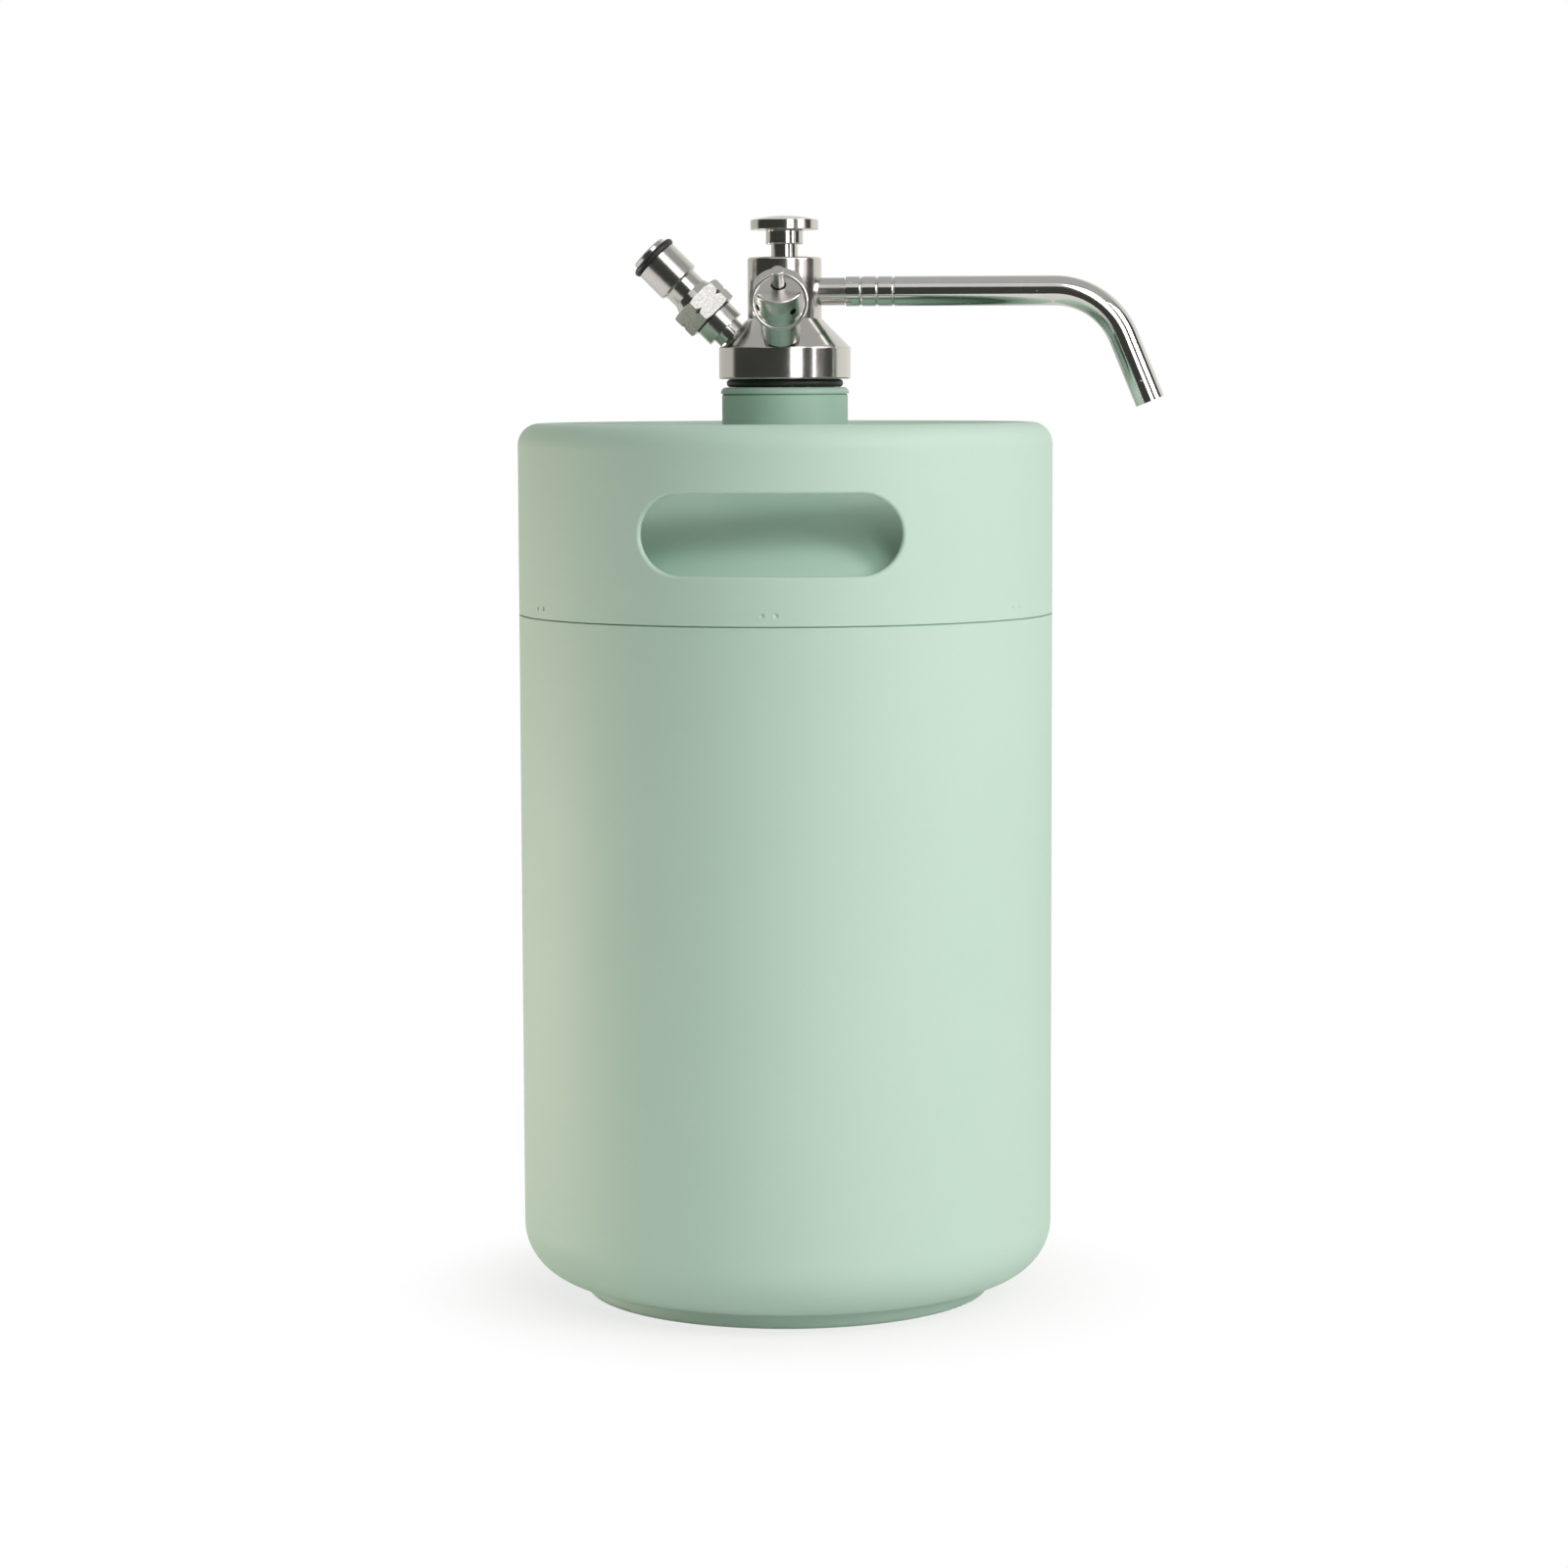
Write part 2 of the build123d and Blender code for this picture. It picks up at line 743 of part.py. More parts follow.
# Gas post: adapter screwed into the cone, washer, and a post with a notched hexagon
adapter_top = adapter_low + adapter_height
post_low = adapter_top + washer_height
hex_top = post_low + hex_height
waist_low = hex_top + post_flare
waist_top = waist_low + waist_height
lock_top = waist_top + lock_bevel + lock_height
post_seal_height = lock_top + post_seal_wire
lip_low = post_seal_height + post_seal_wire
post_top = lip_low + post_lip
thread_top = post_low + post_thread_length
seat_foot = post_top - post_seat_drop
seat_head = seat_foot + post_seat_rise
with BuildPart() as gas_adapter:
    with BuildSketch(gas_section):
        with BuildLine():
            Polyline(
                (adapter_bore, -stub_depth),
                (stub_radius, -stub_depth),
                (stub_radius, adapter_low),
                (adapter_radius, adapter_low),
                (adapter_radius, adapter_top),
                (post_thread, adapter_top),
                (post_thread, thread_top),
                (adapter_bore, thread_top),
                close=True,
            )
        make_face()
    revolve(axis=gas_axis)

with BuildPart() as post_washer:
    with BuildSketch(gas_face.offset(adapter_top)):
        Circle(adapter_radius)
        Circle(post_thread, mode=Mode.SUBTRACT)
    extrude(amount=washer_height)

with BuildPart() as gas_post:
    with BuildSketch(gas_face.offset(post_low)):
        RegularPolygon(hex_flats / 2, 6, major_radius=False, rotation=hex_turn)
    extrude(amount=hex_height)
    with BuildSketch(gas_section):
        with BuildLine():
            hex_corner = hex_flats / 2 / cos(pi / 6)
            hex_middle = post_low + hex_height / 2
            Polyline(
                (0, post_low),
                (hex_corner - hex_chamfer, post_low),
                (hex_corner, post_low + hex_chamfer / 2),
                (hex_corner, hex_middle - notch_width / 2),
                (notch_floor, hex_middle),
                (hex_corner, hex_middle + notch_width / 2),
                (hex_corner, hex_top - hex_chamfer / 2),
                (hex_corner - hex_chamfer, hex_top),
                (0, hex_top),
                close=True,
            )
        make_face()
    revolve(axis=gas_axis, mode=Mode.INTERSECT)
    with BuildSketch(gas_section):
        with BuildLine():
            Polyline(
                (0, hex_top),
                (post_flare_radius, hex_top),
                (waist_radius, waist_low),
                (waist_radius, waist_top),
                (lock_radius, waist_top + lock_bevel),
                (lock_radius, lock_top),
                (post_seal_groove, lock_top),
                (post_seal_groove, lip_low),
                (post_lip_radius, lip_low),
                (post_lip_radius, post_top - post_lip_bevel),
                (post_lip_radius - post_lip_bevel, post_top),
                (0, post_top),
                close=True,
            )
        make_face()
    revolve(axis=gas_axis)
    with BuildSketch(gas_section):
        with BuildLine():
            Polyline(
                (0, post_low),
                (post_thread, post_low),
                (post_thread, thread_top),
                (post_bore, thread_top),
                (post_bore, seat_foot),
                (post_mouth, seat_head),
                (post_mouth, post_top),
                (0, post_top),
                close=True,
            )
        make_face()
    revolve(axis=gas_axis, mode=Mode.SUBTRACT)
post_seal_radius = post_seal_groove + seal_gap + post_seal_wire
post_seal = o_ring(gas_section, gas_axis, post_seal_radius, post_seal_height, post_seal_wire)

# Poppet in the gas post: a rod with a foot, its cone seal and its spring
seat_slope = (post_mouth - post_bore) / post_seat_rise
poppet_low = seat_foot - poppet_base - poppet_seal_side
seal_foot = poppet_low + poppet_base
with BuildPart() as gas_poppet:
    with BuildSketch(gas_section):
        with BuildLine():
            Polyline(
                (0, poppet_low),
                (poppet_radius, poppet_low),
                (poppet_radius, seal_foot),
                (poppet_rod, seal_foot),
                (poppet_rod, post_top - poppet_tip_drop),
                (0, post_top - poppet_tip_drop),
                close=True,
            )
        make_face()
    revolve(axis=gas_axis)

with BuildPart() as poppet_seal:
    with BuildSketch(gas_section):
        with BuildLine():
            shoulder = seal_foot + poppet_seal_side
            crown = seal_foot + poppet_seal_height
            Polyline(
                (poppet_rod, seal_foot),
                (post_bore - poppet_seal_clear, seal_foot),
                (post_bore - poppet_seal_clear, shoulder),
                (post_bore - poppet_seal_clear + seat_slope * (crown - shoulder), crown),
                (poppet_rod, crown),
                close=True,
            )
        make_face()
    revolve(axis=gas_axis)
poppet_spring = coil_spring(
    gas_face.offset(thread_top), gas_coil_radius, gas_coil_wire, poppet_low - thread_top, gas_coil_turns
)

# Relief valve: body screwed into the cone on a seal ring, and a cap with vent holes
relief_low = 2 * (relief_base_wire + seal_gap) - relief_pocket
relief_top = relief_low + relief_length
cap_top = relief_top + relief_cap_length
relief_seat = relief_low + relief_seat_height
thread_foot = relief_top - relief_thread_length
relief_base_seal = o_ring(
    relief_section,
    relief_axis,
    relief_shank + seal_gap + relief_base_wire,
    relief_low - seal_gap - relief_base_wire,
    relief_base_wire,
)
with BuildPart() as relief_body:
    with BuildSketch(relief_section):
        with BuildLine():
            Polyline(
                (relief_inlet, -relief_shank_depth),
                (relief_shank, -relief_shank_depth),
                (relief_shank, relief_low),
                (relief_radius, relief_low),
                (relief_radius, relief_top),
                (relief_thread, relief_top),
                (relief_thread, thread_foot),
                (relief_bore, thread_foot),
                (relief_bore, relief_seat),
                (relief_inlet, relief_seat),
                close=True,
            )
        make_face()
    revolve(axis=relief_axis)

with BuildPart() as relief_cap:
    with BuildSketch(relief_section) as cap_profile:
        with BuildLine():
            Polyline(
                (relief_cap_bore, thread_foot),
                (relief_thread, thread_foot),
                (relief_thread, relief_top),
                (relief_cap_radius, relief_top),
                (relief_cap_radius, cap_top),
                (rod_radius + rod_guide, cap_top),
                (rod_radius + rod_guide, cap_top - relief_cap_top),
                (relief_cap_bore, cap_top - relief_cap_top),
                close=True,
            )
        make_face()
        fillet(cap_profile.vertices().group_by(Axis.X)[-1], relief_cap_edge)
    revolve(axis=relief_axis)
    vents = relief_face.offset(relief_top + vent_height)
    for vent in range(vent_count):
        turn = radians(vent_turn + 360 / vent_count * (vent + 0.5))
        out = vents.x_dir * cos(turn) + vents.y_dir * sin(turn)
        with BuildSketch(Plane(vents.origin, x_dir=vents.z_dir, z_dir=out)):
            Circle(vent_radius)
        extrude(amount=relief_cap_radius, mode=Mode.SUBTRACT)

# Relief stem: a rod with a disc under the spring, a rubber face and a cross hole for the pull ring
rod_end = cap_top + rod_out
ring_pivot = relief_face.from_local_coords((0, 0, rod_end - ring_hole_below_end))
disc_low = relief_seat + seal_gap + relief_seal_height
with BuildPart() as relief_stem:
    with BuildSketch(relief_section) as stem_profile:
        with BuildLine():
            Polyline(
                (0, disc_low),
                (relief_disc_radius, disc_low),
                (relief_disc_radius, disc_low + relief_disc_height),
                (rod_radius, disc_low + relief_disc_height),
                (rod_radius, rod_end),
                (0, rod_end),
                close=True,
            )
        make_face()
        fillet(stem_profile.vertices().group_by(Axis.Y)[-1].sort_by(Axis.X)[-1], rod_edge)
    revolve(axis=relief_axis)
    with BuildSketch(Plane.YZ):
        with Locations((ring_pivot.Y, ring_pivot.Z)):
            Circle(ring_hole)
    extrude(amount=rod_radius, both=True, mode=Mode.SUBTRACT)

with BuildPart() as relief_seal:
    with BuildSketch(relief_face.offset(relief_seat + seal_gap)):
        Circle(relief_disc_radius)
    extrude(amount=relief_seal_height)
relief_spring = coil_spring(
    relief_face.offset(disc_low + relief_disc_height),
    relief_coil_radius,
    relief_coil_wire,
    cap_top - relief_cap_top - disc_low - relief_disc_height,
    relief_coil_turns,
)

# Pull ring: a wire loop that hangs from the cross hole, centred on the sag of its own curve there
ring_sag = ring_radius - sqrt(ring_radius**2 - rod_radius**2)
ring_drop = ring_radius - ring_sag / 2
with BuildPart() as pull_ring:
    across = ring_drop * sin(radians(ring_sway))
    below = ring_drop * cos(radians(ring_sway))
    with Locations(Location((across, ring_pivot.Y, ring_pivot.Z - below), (90, 0, 0))):
        Torus(ring_radius, ring_wire)

pieces = {
    "outer_wall": outer_wall,
    "shoulder_dome": shoulder_dome,
    "base_cup": base_cup,
    "vacuum_plug": vacuum_plug,
    "liner_bottom": liner_bottom,
    "liner_tube": liner_tube,
    "liner_top": liner_top,
    "keg_neck": keg_neck,
    "handle_collar": handle_collar,
    "neck_seal": neck_seal,
    "tap_head": tap_head,
    "gland_bush": gland_bush,
    "stem_seal": stem_seal,
    "push_stem": push_stem,
    "stop_collar": stop_collar,
    "push_knob": push_knob,
    "valve_washer": valve_washer,
    "valve_disc": valve_disc,
    "tap_spring": tap_spring,
    "dip_tube": dip_tube,
    "tube_nut": tube_nut,
    "tube_seal": tube_seal,
    "spout_nipple": spout_nipple,
    "spout_seal": spout_seal,
    "spout_tube": spout_tube,
    "gas_adapter": gas_adapter,
    "post_washer": post_washer,
    "gas_post": gas_post,
    "post_seal": post_seal,
    "gas_poppet": gas_poppet,
    "poppet_seal": poppet_seal,
    "poppet_spring": poppet_spring,
    "relief_base_seal": relief_base_seal,
    "relief_body": relief_body,
    "relief_cap": relief_cap,
    "relief_stem": relief_stem,
    "relief_seal": relief_seal,
    "relief_spring": relief_spring,
    "pull_ring": pull_ring,
}

os.makedirs("parts", exist_ok=True)
for name, piece in pieces.items():
    piece.part.label = name
    export_step(piece.part, f"parts/{name}.step")

print(f"spout turns about z {spout_height:.3f}; ring pivots at {ring_pivot.Y:.3f}, {ring_pivot.Z:.3f}")
print(f"head top {head_top:.3f}, neck top {neck_top:.3f}, dip tube from {tube_low:.3f}")
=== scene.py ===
# %% [markdown]
# # A vacuum-walled drinks keg with a push tap
# The solid parts come in from the imported model as a fixed frame, in metres: Z is up, the spout points
# to +X and the relief valve faces -Y. Their shapes are finished, so this lesson gives them a camera,
# a studio, and surfaces.

# %% Load the frame
from math import cos, pi, radians, sin

import bpy
from mathutils import Matrix, Vector


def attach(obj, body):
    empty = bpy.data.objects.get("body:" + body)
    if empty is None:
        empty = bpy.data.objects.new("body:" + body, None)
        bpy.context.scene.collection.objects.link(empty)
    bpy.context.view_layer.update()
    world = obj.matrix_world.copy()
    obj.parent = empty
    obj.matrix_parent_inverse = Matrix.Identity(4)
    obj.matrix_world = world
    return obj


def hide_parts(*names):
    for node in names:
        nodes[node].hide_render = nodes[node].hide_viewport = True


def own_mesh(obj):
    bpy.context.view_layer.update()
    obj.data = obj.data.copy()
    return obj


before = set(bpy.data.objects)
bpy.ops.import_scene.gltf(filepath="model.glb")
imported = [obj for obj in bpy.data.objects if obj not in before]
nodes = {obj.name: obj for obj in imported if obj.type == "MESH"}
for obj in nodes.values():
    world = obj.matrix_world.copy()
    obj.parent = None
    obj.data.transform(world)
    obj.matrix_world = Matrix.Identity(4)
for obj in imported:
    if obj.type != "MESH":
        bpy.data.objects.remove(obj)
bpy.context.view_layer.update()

# %% [markdown]
# ## Camera
# The photograph was taken with a fairly long lens from a little above the rim, so the keg's sides
# stay almost parallel while its seam and foot still curve. The distance, height, tilt and focal length
# were fitted to those curves. A camera could be aimed with a Track To constraint, but three plain
# direction vectors also hold the small roll, so they are worked out here. A shift of two pixels
# finishes the framing.

# %% Camera from its measured place
camera_azimuth = radians(3.4)
camera_distance = 1.43466
camera_height = 0.31565
camera_pitch = radians(5.508)
camera_roll = radians(-0.202)
photo_focal = 4210.67
photo_width = 1600
frame_right = 2.4
frame_down = 1.1

heading = Vector((-sin(camera_azimuth), cos(camera_azimuth), 0))
forward = heading * cos(camera_pitch) - Vector((0, 0, sin(camera_pitch)))
right = forward.cross(Vector((0, 0, 1))).normalized()
above = right.cross(forward)
tilted_right = right * cos(camera_roll) + above * sin(camera_roll)
tilted_above = above * cos(camera_roll) - right * sin(camera_roll)
camera_data = bpy.data.cameras.new("portrait_camera")
camera_data.sensor_width = 36
camera_data.lens = photo_focal / photo_width * camera_data.sensor_width
camera_data.shift_x = -frame_right / photo_width
camera_data.shift_y = frame_down / photo_width
camera = bpy.data.objects.new("portrait_camera", camera_data)
bpy.context.scene.collection.objects.link(camera)
stance = Matrix((tilted_right, tilted_above, -forward)).transposed().to_4x4()
stance.translation = heading * -camera_distance + Vector((0, 0, camera_height))
camera.matrix_world = stance
bpy.context.scene.camera = camera
print("lens", round(camera_data.lens, 2), "mm")

# %% [markdown]
# ## Shader sums
# A finish is mostly arithmetic on positions: how far round, how far along, how much noise. Wiring Math
# nodes by hand hides that arithmetic, so one small class wraps an output socket and turns Python's
# operators into nodes. Its `node` method adds every other kind of node.

# %% A socket that can be added and multiplied
class Wire:
    def __init__(self, socket):
        self.socket = socket
        self.tree = socket.id_data

    @staticmethod
    def node(tree, kind, settings=None, sockets=None, out=0):
        """Add a node: its settings first, then the values or links of its sockets."""
        made = tree.nodes.new(kind)
        for key, value in (settings or {}).items():
            setattr(made, key, value)
        for key, value in (sockets or {}).items():
            if isinstance(value, Wire):
                tree.links.new(value.socket, made.inputs[key])
            else:
                made.inputs[key].default_value = value
        return Wire(made.outputs[out]) if made.outputs else None

    def math(self, operation, first, second=0.0):
        return Wire.node(self.tree, "ShaderNodeMath", {"operation": operation}, {0: first, 1: second})

    def __add__(self, other):
        return self.math("ADD", self, other)

    def __sub__(self, other):
        return self.math("SUBTRACT", self, other)

    def __rsub__(self, other):
        return self.math("SUBTRACT", other, self)

    def __mul__(self, other):
        return self.math("MULTIPLY", self, other)

    def __truediv__(self, other):
        return self.math("DIVIDE", self, other)

    def __abs__(self):
        return self.math("ABSOLUTE", self)

    __radd__ = __add__
    __rmul__ = __mul__

    def step(self, low, high):
        """0 below low and 1 above high, smooth between; with low above high it falls instead."""
        ends = (0.0, 1.0) if low < high else (1.0, 0.0)
        sockets = {0: self, 1: min(low, high), 2: max(low, high), 3: ends[0], 4: ends[1]}
        return Wire.node(self.tree, "ShaderNodeMapRange", {"interpolation_type": "SMOOTHSTEP"}, sockets)


# %% Helpers for noise, colour mixes and vectors
def noise(place, scale, detail=2.0, roughness=0.5):
    sockets = {"Vector": place, "Scale": scale, "Detail": detail, "Roughness": roughness}
    return Wire.node(place.tree, "ShaderNodeTexNoise", None, sockets)


def mix_colour(share, first, second):
    ends = [c if isinstance(c, Wire) else (*c, 1) for c in (first, second)]
    sockets = {0: share, 6: ends[0], 7: ends[1]}
    return Wire.node(share.tree, "ShaderNodeMix", {"data_type": "RGBA"}, sockets, out=2)


def vector_math(operation, first, second, out=0):
    sockets = {0: first, 1: second}
    return Wire.node(first.tree, "ShaderNodeVectorMath", {"operation": operation}, sockets, out)


print("shader sums ready")

# %% [markdown]
# ## The studio
# The photograph has a white ground with a weak shadow, and a light tent behind the keg whose edges show
# in every round of steel: bright at both flanks, dark across the front where the room is, and two
# upright bright strips to the right of the middle. Painting those bands on the steel would be wrong from
# any other side, so the room itself has them. The world is white to the camera. To everything else it is
# a bright tent behind, a grey ceiling and a dim room in front.

# %% World: white ground, tent, ceiling and dim room
room_dim = (0.056, 0.058, 0.051)
tent_left = (0.66, 0.66, 0.6)
tent_right = (0.96, 0.96, 0.9)
ceiling_grey = (0.54, 0.54, 0.525)
# where each part of the room begins and ends, in parts of the unit look vector
tent_sides = -0.6, 0.6
tent_edge = 0.12, 0.3
ceiling_edge = 0.5, 0.85
ceiling_front = -0.65, -0.4

world = bpy.data.worlds.new("studio")
bpy.context.scene.world = world
world.use_nodes = True
sky = world.node_tree
sky.nodes.clear()
look = Wire.node(sky, "ShaderNodeTexCoord", out="Generated")
behind = vector_math("DOT_PRODUCT", look, tuple(heading), out=1)
upward = Wire.node(sky, "ShaderNodeSeparateXYZ", None, {0: look}, out=2)
sideways = vector_math("DOT_PRODUCT", look, tuple(right), out=1)
tent = mix_colour(sideways.step(*tent_sides), tent_left, tent_right)
walls = mix_colour(behind.step(*tent_edge), room_dim, tent)
overhead = upward.step(*ceiling_edge) * behind.step(*ceiling_front)
room = mix_colour(overhead, walls, ceiling_grey)
to_camera = Wire.node(sky, "ShaderNodeLightPath", out="Is Camera Ray")
glow = Wire.node(sky, "ShaderNodeBackground", None, {"Color": mix_colour(to_camera, room, (1, 1, 1))})
Wire.node(sky, "ShaderNodeOutputWorld", None, {"Surface": glow})
bpy.context.scene.view_settings.view_transform = "Standard"
print("world nodes:", len(sky.nodes))

# %% [markdown]
# The floor is a pale sheet that ends in front of the keg, with its left corner cut off, so that the steel
# looks past it into the dim room. To the camera it is mostly plain white, and wholly so a hand's width
# from the keg, where it meets the white ground. The rest is lit paper, which keeps a weak shadow round
# the foot. Reflections see more of the paper.

# %% Pale floor
floor_half = 2.5
floor_front = -0.7
floor_side = 0.1
floor_drop = -0.0001
shadow_reach = 0.085, 0.145
camera_white = 0.74
gloss_white = 0.4

outline = [
    (-0.85, floor_side), (-0.35, floor_front),
    (floor_half, floor_front), (floor_half, floor_half), (-floor_half, floor_half),
    (-floor_half, floor_side),
]
floor_mesh = bpy.data.meshes.new("floor")
floor_mesh.from_pydata([(x, y, floor_drop) for x, y in outline], [], [range(len(outline))])
floor = bpy.data.objects.new("floor", floor_mesh)
bpy.context.scene.collection.objects.link(floor)
floor_paper = bpy.data.materials.new("floor_paper")
floor_paper.use_nodes = True
paper = floor_paper.node_tree
paper.nodes.clear()
paper_place = Wire.node(paper, "ShaderNodeTexCoord", out="Object")
paper_white = mix_colour(noise(paper_place, 3.0), (0.84, 0.84, 0.83), (0.86, 0.86, 0.85))
matte = Wire.node(paper, "ShaderNodeBsdfDiffuse", None, {"Color": paper_white})
by_camera = Wire.node(paper, "ShaderNodeLightPath", out="Is Camera Ray")
by_gloss = Wire.node(paper, "ShaderNodeLightPath", out="Is Glossy Ray")
far = Wire.node(paper, "ShaderNodeVectorMath", {"operation": "LENGTH"}, {0: paper_place}, out=1)
white = Wire.node(paper, "ShaderNodeEmission", None, {"Color": (1, 1, 1, 1), "Strength": 1.0})
near_white = camera_white + far.step(*shadow_reach) * (1 - camera_white)
share = by_camera * near_white + by_gloss * gloss_white
sheet = Wire.node(paper, "ShaderNodeMixShader", None, {0: share, 1: matte, 2: white})
Wire.node(paper, "ShaderNodeOutputMaterial", None, {"Surface": sheet})
floor_mesh.materials.append(floor_paper)
print("floor", 2 * floor_half, "m wide")

# %% [markdown]
# The lamps stand where the steel in the photograph shows them. On a round bar a reflection turns twice as
# fast as the surface, so the place of a bright strip across the skirt, along the spout or on a flat of the
# hexagon gives the direction of its lamp: two upright strips to the right, a wide weak box high in front,
# and the main box further round to the right. A low warm card on the left gives the wall its beige edge.

# %% Soft boxes
aim_height = 0.2


def soft_box(name, turn, rise, distance, width, height, glow, tint=(1, 1, 1)):
    """An area lamp aimed at the keg; turn is to the right of the camera and rise is up, in degrees."""
    lamp = bpy.data.lights.new(name, "AREA")
    lamp.shape = "RECTANGLE"
    lamp.size = width
    lamp.size_y = height
    lamp.energy = glow * pi * width * height
    lamp.color = tint
    stand = bpy.data.objects.new(name, lamp)
    bpy.context.scene.collection.objects.link(stand)
    angle = camera_azimuth + radians(turn)
    level = cos(radians(rise))
    away = Vector((sin(angle) * level, -cos(angle) * level, sin(radians(rise))))
    stand.location = Vector((0, 0, aim_height)) + away * distance
    stand.rotation_euler = (-away).to_track_quat("-Z", "Y").to_euler()
    return stand


lamps = [
    soft_box("key_strip", turn=20, rise=19, distance=1.7, width=0.6, height=2.0, glow=3.0),
    soft_box("edge_strip", turn=52.5, rise=12, distance=1.7, width=0.11, height=1.2, glow=4.0),
    soft_box("front_box", turn=-6, rise=47, distance=1.6, width=2.2, height=0.75, glow=0.75),
    soft_box("high_box", turn=60, rise=26, distance=1.6, width=0.7, height=0.95, glow=6.0,
             tint=(1, 0.91, 0.94)),
    soft_box("warm_card", turn=-101, rise=-11.8, distance=0.75, width=0.6, height=0.1, glow=12.5,
             tint=(1, 0.86, 0.74)),
]
print("lamps:", [lamp.name for lamp in lamps])

# %% [markdown]
# ## Where a point lies on a turned piece
# Nearly every metal piece here came off a lathe, so its marks run round its own axis. The head and the
# knob turn about Z, the spout about a level line, and the gas post and relief valve about lines that
# lean at 45 degrees. A point's height along the axis and its distance from it are all that the marks need.

# %% Axes, and height and radius about them
steep = 0.5**0.5
upright_axis = ((0, 0, 0), (0, 0, 1))
spout_axis = ((0, 0, 0.34848), (1, 0, 0))
gas_axis = ((-0.0184, 0, 0.33355), (-steep, 0, steep))
relief_axis = ((0, -0.0184, 0.33355), (0, -steep, steep))


def about_axis(place, axis):
    """Height along an axis and distance from it, in metres."""
    point, direction = axis
    offset = vector_math("SUBTRACT", place, point)
    height = vector_math("DOT_PRODUCT", offset, direction, out=1)
    sockets = {0: direction, "Scale": height}
    shaft = Wire.node(place.tree, "ShaderNodeVectorMath", {"operation": "SCALE"}, sockets)
    away = vector_math("SUBTRACT", offset, shaft)
    radius = Wire.node(place.tree, "ShaderNodeVectorMath", {"operation": "LENGTH"}, {0: away}, out=1)
    return height, radius


def start_finish(name):
    """A new material with an empty node tree, and the place of a point in it."""
    finish = bpy.data.materials.new(name)
    finish.use_nodes = True
    finish.node_tree.nodes.clear()
    return finish, Wire.node(finish.node_tree, "ShaderNodeTexCoord", out="Object")


def close_finish(finish, height, distance, strength, **sockets):
    """Bump from a height, the shader with its sockets, and the output."""
    tree = finish.node_tree
    relief = {"Height": height, "Distance": distance, "Strength": strength}
    normal = Wire.node(tree, "ShaderNodeBump", None, relief)
    named = {key.replace("_", " "): value for key, value in sockets.items()}
    shader = Wire.node(tree, "ShaderNodeBsdfPrincipled", None, {**named, "Normal": normal})
    Wire.node(tree, "ShaderNodeOutputMaterial", None, {"Surface": shader})
    print("finish", finish.name, "with", len(tree.nodes), "nodes")
    return finish


# %% [markdown]
# ## Powder coat
# The keg is sprayed with sage powder that is baked on. It is matte, with a grain of about half a
# millimetre and a slow unevenness under it, and the colour drifts by a percent or two. An image of
# grain would have to be stretched round the wall, so noise in space is used: it has the same scale on
# the wall, the collar, the dome and inside the slot. The dome gets a darker copy of the wall's tones and
# the neck a darker one still, as painted shade for the dim recess, so the coat comes in three sets of
# tones.

# %% Sage powder coat
# low, high and speck tone of each coat; the dome's and the neck's are darker copies of the wall's, painted
# shade
wall_sage = (0.425, 0.59, 0.485), (0.47, 0.635, 0.525), (0.52, 0.67, 0.57)
shaded_dome_sage = (0.36, 0.555, 0.445), (0.395, 0.6, 0.482), (0.437, 0.63, 0.522)
shaded_neck_sage = (0.295, 0.452, 0.362), (0.325, 0.487, 0.392), (0.36, 0.514, 0.425)
grain_height = 2.2e-5
grain_gloss = 0.14


def powder_grain(place, low, high):
    """Fine grain, and a colour that drifts slowly between two tones."""
    return noise(place, 1700, 3, 0.6), mix_colour(noise(place, 11, 3), low, high)


def sage_powder(name, tones):
    low, high, speck = tones
    finish, place = start_finish(name)
    grain, drift = powder_grain(place, low, high)
    colour = mix_colour(noise(place, 2300, 1).step(0.6, 0.78) * 0.5, drift, speck)
    skin = grain + noise(place, 240, 2) * 1.4
    rough = 0.54 + grain * grain_gloss
    return close_finish(finish, skin, grain_height, 0.5, Base_Color=colour, Roughness=rough,
                        Specular_IOR_Level=0.7)


# %% [markdown]
# The neck is sprayed outside, while its bore stays bare steel with a cut thread. One material does both by
# the distance from the axis, with a short ramp where the spray ends on the bead. Inside the bore the
# height and the angle give the turns of a helix, and a triangle wave of the turns gives the flanks.

# %% Neck: coat outside, bare bore
bare_steel = (0.56, 0.55, 0.53)
spray_edge = 0.01835, 0.0187
thread_pitch = 0.002
bore_thread_start = 0.3, 0.3005
bore_thread_depth = 1e-3


def shaded_coated_neck(name, tones):
    low, high, _ = tones
    finish, place = start_finish(name)
    height, radius = about_axis(place, upright_axis)
    coat = radius.step(*spray_edge)
    grain, drift = powder_grain(place, low, high)
    # the coat's tones passed in are darker than the wall's, as painted shade
    colour = mix_colour(coat, bare_steel, drift)
    rough = 0.24 + coat * 0.16 + grain * grain_gloss
    east, north = (Wire.node(place.tree, "ShaderNodeSeparateXYZ", None, {0: place}, out=k) for k in (0, 1))
    turns = height / thread_pitch - place.math("ARCTAN2", north, east) / (2 * pi)
    flank = abs(turns.math("FRACT", turns) - 0.5) * height.step(*bore_thread_start) * (1 - coat)
    skin = grain * grain_height + flank * bore_thread_depth
    return close_finish(finish, skin, 1.0, 0.5, Base_Color=colour, Roughness=rough, Metallic=1 - coat)


# %% [markdown]
# ## Turned steel
# A lathe leaves rings: across a flat end they are circles, along a barrel they are level lines. Noise
# that reads only the height and the radius gives both without any unwrapping. Handling leaves slow
# smudges, which change the gloss more than the colour.

# %% Steel off the lathe
steel_low = (0.57, 0.555, 0.53)
steel_high = (0.67, 0.655, 0.63)
lathe_scale = 2600


